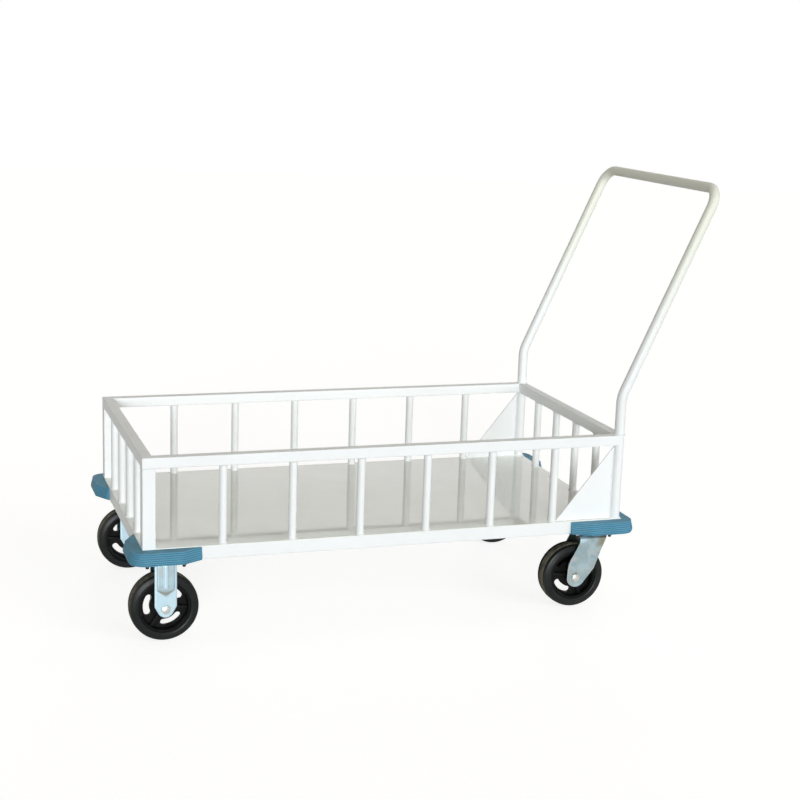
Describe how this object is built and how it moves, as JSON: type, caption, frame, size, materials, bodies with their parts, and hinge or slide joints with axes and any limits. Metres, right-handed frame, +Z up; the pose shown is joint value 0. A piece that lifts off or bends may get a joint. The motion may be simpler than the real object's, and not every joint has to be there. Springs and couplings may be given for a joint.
{
  "type": "garden trolley",
  "caption": "Low-railed platform trolley with a flat deck, spindle sides, rubber corner bumpers, fixed front and swivel rear casters and a raked push handle.",
  "frame": {"origin": "on the floor under the middle of the trolley's outline", "axes": "+X forwards, away from the handle; +Y to the trolley's left; +Z up"},
  "size_m": [1.436, 0.705, 1.0535],
  "materials": {
    "frame_paint": "white powder coat, semi-gloss",
    "deck_paint": "white powder coat, glossy",
    "bumper_rubber": "blue moulded rubber with fine ribs",
    "zinc_plate": "bright blue zinc plating",
    "bolt_steel": "zinc plated bolt",
    "tyre_rubber": "black rubber",
    "hub_plastic": "black moulded plastic"
  },
  "bodies": {
    "chassis": {"axle_front_left": "bolt_steel", "axle_front_right": "bolt_steel", "base_rail_front": "frame_paint", "base_rail_left": "frame_paint", "base_rail_rear": "frame_paint", "base_rail_right": "frame_paint", "bumper_front_left": "bumper_rubber", "bumper_front_right": "bumper_rubber", "bumper_rear_left": "bumper_rubber", "bumper_rear_right": "bumper_rubber", "caster_pad_front_left": "frame_paint", "caster_pad_front_right": "frame_paint", "caster_pad_rear_left": "frame_paint", "caster_pad_rear_right": "frame_paint", "deck_bearer_1": "frame_paint", "deck_bearer_2": "frame_paint", "deck_sheet": "deck_paint", "fixed_bracket_left": "zinc_plate", "fixed_bracket_right": "zinc_plate", "front_post_left": "frame_paint", "front_post_right": "frame_paint", "gusset_left": "frame_paint", "gusset_right": "frame_paint", "handle": "frame_paint", "spindles_front": "frame_paint", "spindles_left": "frame_paint", "spindles_rear": "frame_paint", "spindles_right": "frame_paint", "swivel_plate_left": "zinc_plate", "swivel_plate_right": "zinc_plate", "top_rail_front": "frame_paint", "top_rail_left": "frame_paint", "top_rail_rear": "frame_paint", "top_rail_right": "frame_paint"},
    "front_wheel_left": {"hub_front_left": "hub_plastic", "tyre_front_left": "tyre_rubber"},
    "front_wheel_right": {"hub_front_right": "hub_plastic", "tyre_front_right": "tyre_rubber"},
    "swivel_left": {"axle_rear_left": "bolt_steel", "swivel_fork_left": "zinc_plate"},
    "swivel_right": {"axle_rear_right": "bolt_steel", "swivel_fork_right": "zinc_plate"},
    "rear_wheel_left": {"hub_rear_left": "hub_plastic", "tyre_rear_left": "tyre_rubber"},
    "rear_wheel_right": {"hub_rear_right": "hub_plastic", "tyre_rear_right": "tyre_rubber"}
  },
  "joints": [
    {"name": "front_wheel_left_spin", "type": "hinge", "parent": "chassis", "child": "front_wheel_left", "pos_m": [0.631, 0.2645, 0.08], "axis": [0, 1, 0], "continuous": true},
    {"name": "swivel_left_turn", "type": "hinge", "parent": "chassis", "child": "swivel_left", "pos_m": [-0.435, 0.2645, 0.188], "axis": [0, 0, 1], "continuous": true},
    {"name": "rear_wheel_left_spin", "type": "hinge", "parent": "swivel_left", "child": "rear_wheel_left", "pos_m": [-0.39, 0.2645, 0.08], "axis": [0, 1, 0], "continuous": true},
    {"name": "front_wheel_right_spin", "type": "hinge", "parent": "chassis", "child": "front_wheel_right", "pos_m": [0.631, -0.2645, 0.08], "axis": [0, 1, 0], "continuous": true},
    {"name": "swivel_right_turn", "type": "hinge", "parent": "chassis", "child": "swivel_right", "pos_m": [-0.435, -0.2645, 0.188], "axis": [0, 0, 1], "continuous": true},
    {"name": "rear_wheel_right_spin", "type": "hinge", "parent": "swivel_right", "child": "rear_wheel_right", "pos_m": [-0.39, -0.2645, 0.08], "axis": [0, 1, 0], "continuous": true}
  ]
}
